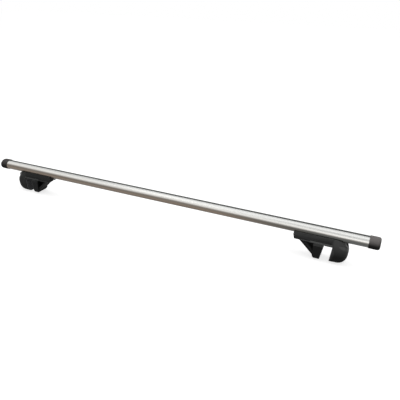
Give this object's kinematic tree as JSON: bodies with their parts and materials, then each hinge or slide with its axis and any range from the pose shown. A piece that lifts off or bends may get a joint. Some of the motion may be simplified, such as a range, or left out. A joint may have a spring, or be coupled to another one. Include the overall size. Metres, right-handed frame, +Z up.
{
  "type": "roof rack crossbar",
  "caption": "Oval aluminium roof crossbar with a rubber-filled top slot, domed end caps, and sliding clamp feet whose jaws grip raised roof rails.",
  "frame": {"origin": "on the ground line under the bar's middle, midway between its feet", "axes": "+X along the bar to the end that is near in the picture, +Y across the bar, +Z up"},
  "size_m": [1.2, 0.048, 0.0897],
  "materials": {
    "satin_aluminium": "satin",
    "strip_rubber": "matte",
    "cap_plastic": "satin",
    "foot_plastic": "satin",
    "pad_rubber": "matte",
    "zinc_steel": "satin"
  },
  "bodies": {
    "bar": {"tube": "satin_aluminium", "top_strip": "strip_rubber", "right_cap": "cap_plastic", "left_cap": "cap_plastic"},
    "right_foot": {"right_foot_body": "foot_plastic", "right_seat_pad": "pad_rubber", "right_hook_pad": "pad_rubber", "right_bolt_washer": "zinc_steel", "right_nut_plate": "zinc_steel", "right_screw_a": "zinc_steel", "right_screw_b": "zinc_steel", "right_screw_washer_a": "zinc_steel", "right_screw_washer_b": "zinc_steel"},
    "right_jaw_carrier": {"right_jaw": "foot_plastic", "right_jaw_pad": "pad_rubber", "right_jaw_nut": "zinc_steel"},
    "right_bolt": {"right_clamp_bolt": "zinc_steel"},
    "left_foot": {"left_foot_body": "foot_plastic", "left_seat_pad": "pad_rubber", "left_hook_pad": "pad_rubber", "left_bolt_washer": "zinc_steel", "left_nut_plate": "zinc_steel", "left_screw_a": "zinc_steel", "left_screw_b": "zinc_steel", "left_screw_washer_a": "zinc_steel", "left_screw_washer_b": "zinc_steel"},
    "left_jaw_carrier": {"left_jaw": "foot_plastic", "left_jaw_pad": "pad_rubber", "left_jaw_nut": "zinc_steel"},
    "left_bolt": {"left_clamp_bolt": "zinc_steel"}
  },
  "joints": [
    {"name": "right_foot_slide", "type": "slide", "parent": "bar", "child": "right_foot", "axis": [1, 0, 0], "range_m": [-0.15, 0.04]},
    {"name": "right_bolt_spin", "type": "hinge", "parent": "right_foot", "child": "right_bolt", "pos_m": [0.479, 0, 0.052], "axis": [1, 0, 0], "range_deg": [-1800, 7200]},
    {"name": "right_jaw_slide", "type": "slide", "parent": "right_foot", "child": "right_jaw_carrier", "axis": [-1, 0, 0], "range_m": [-0.005, 0.02]},
    {"name": "left_foot_slide", "type": "slide", "parent": "bar", "child": "left_foot", "axis": [-1, 0, 0], "range_m": [-0.15, 0.04]},
    {"name": "left_bolt_spin", "type": "hinge", "parent": "left_foot", "child": "left_bolt", "pos_m": [-0.479, 0, 0.052], "axis": [-1, 0, 0], "range_deg": [-1800, 7200]},
    {"name": "left_jaw_slide", "type": "slide", "parent": "left_foot", "child": "left_jaw_carrier", "axis": [1, 0, 0], "range_m": [-0.005, 0.02]}
  ],
  "couplings": [
    {"joint": "right_bolt_spin", "follows": "right_jaw_slide", "rad_per_m": 6283},
    {"joint": "left_bolt_spin", "follows": "left_jaw_slide", "rad_per_m": 6283}
  ]
}
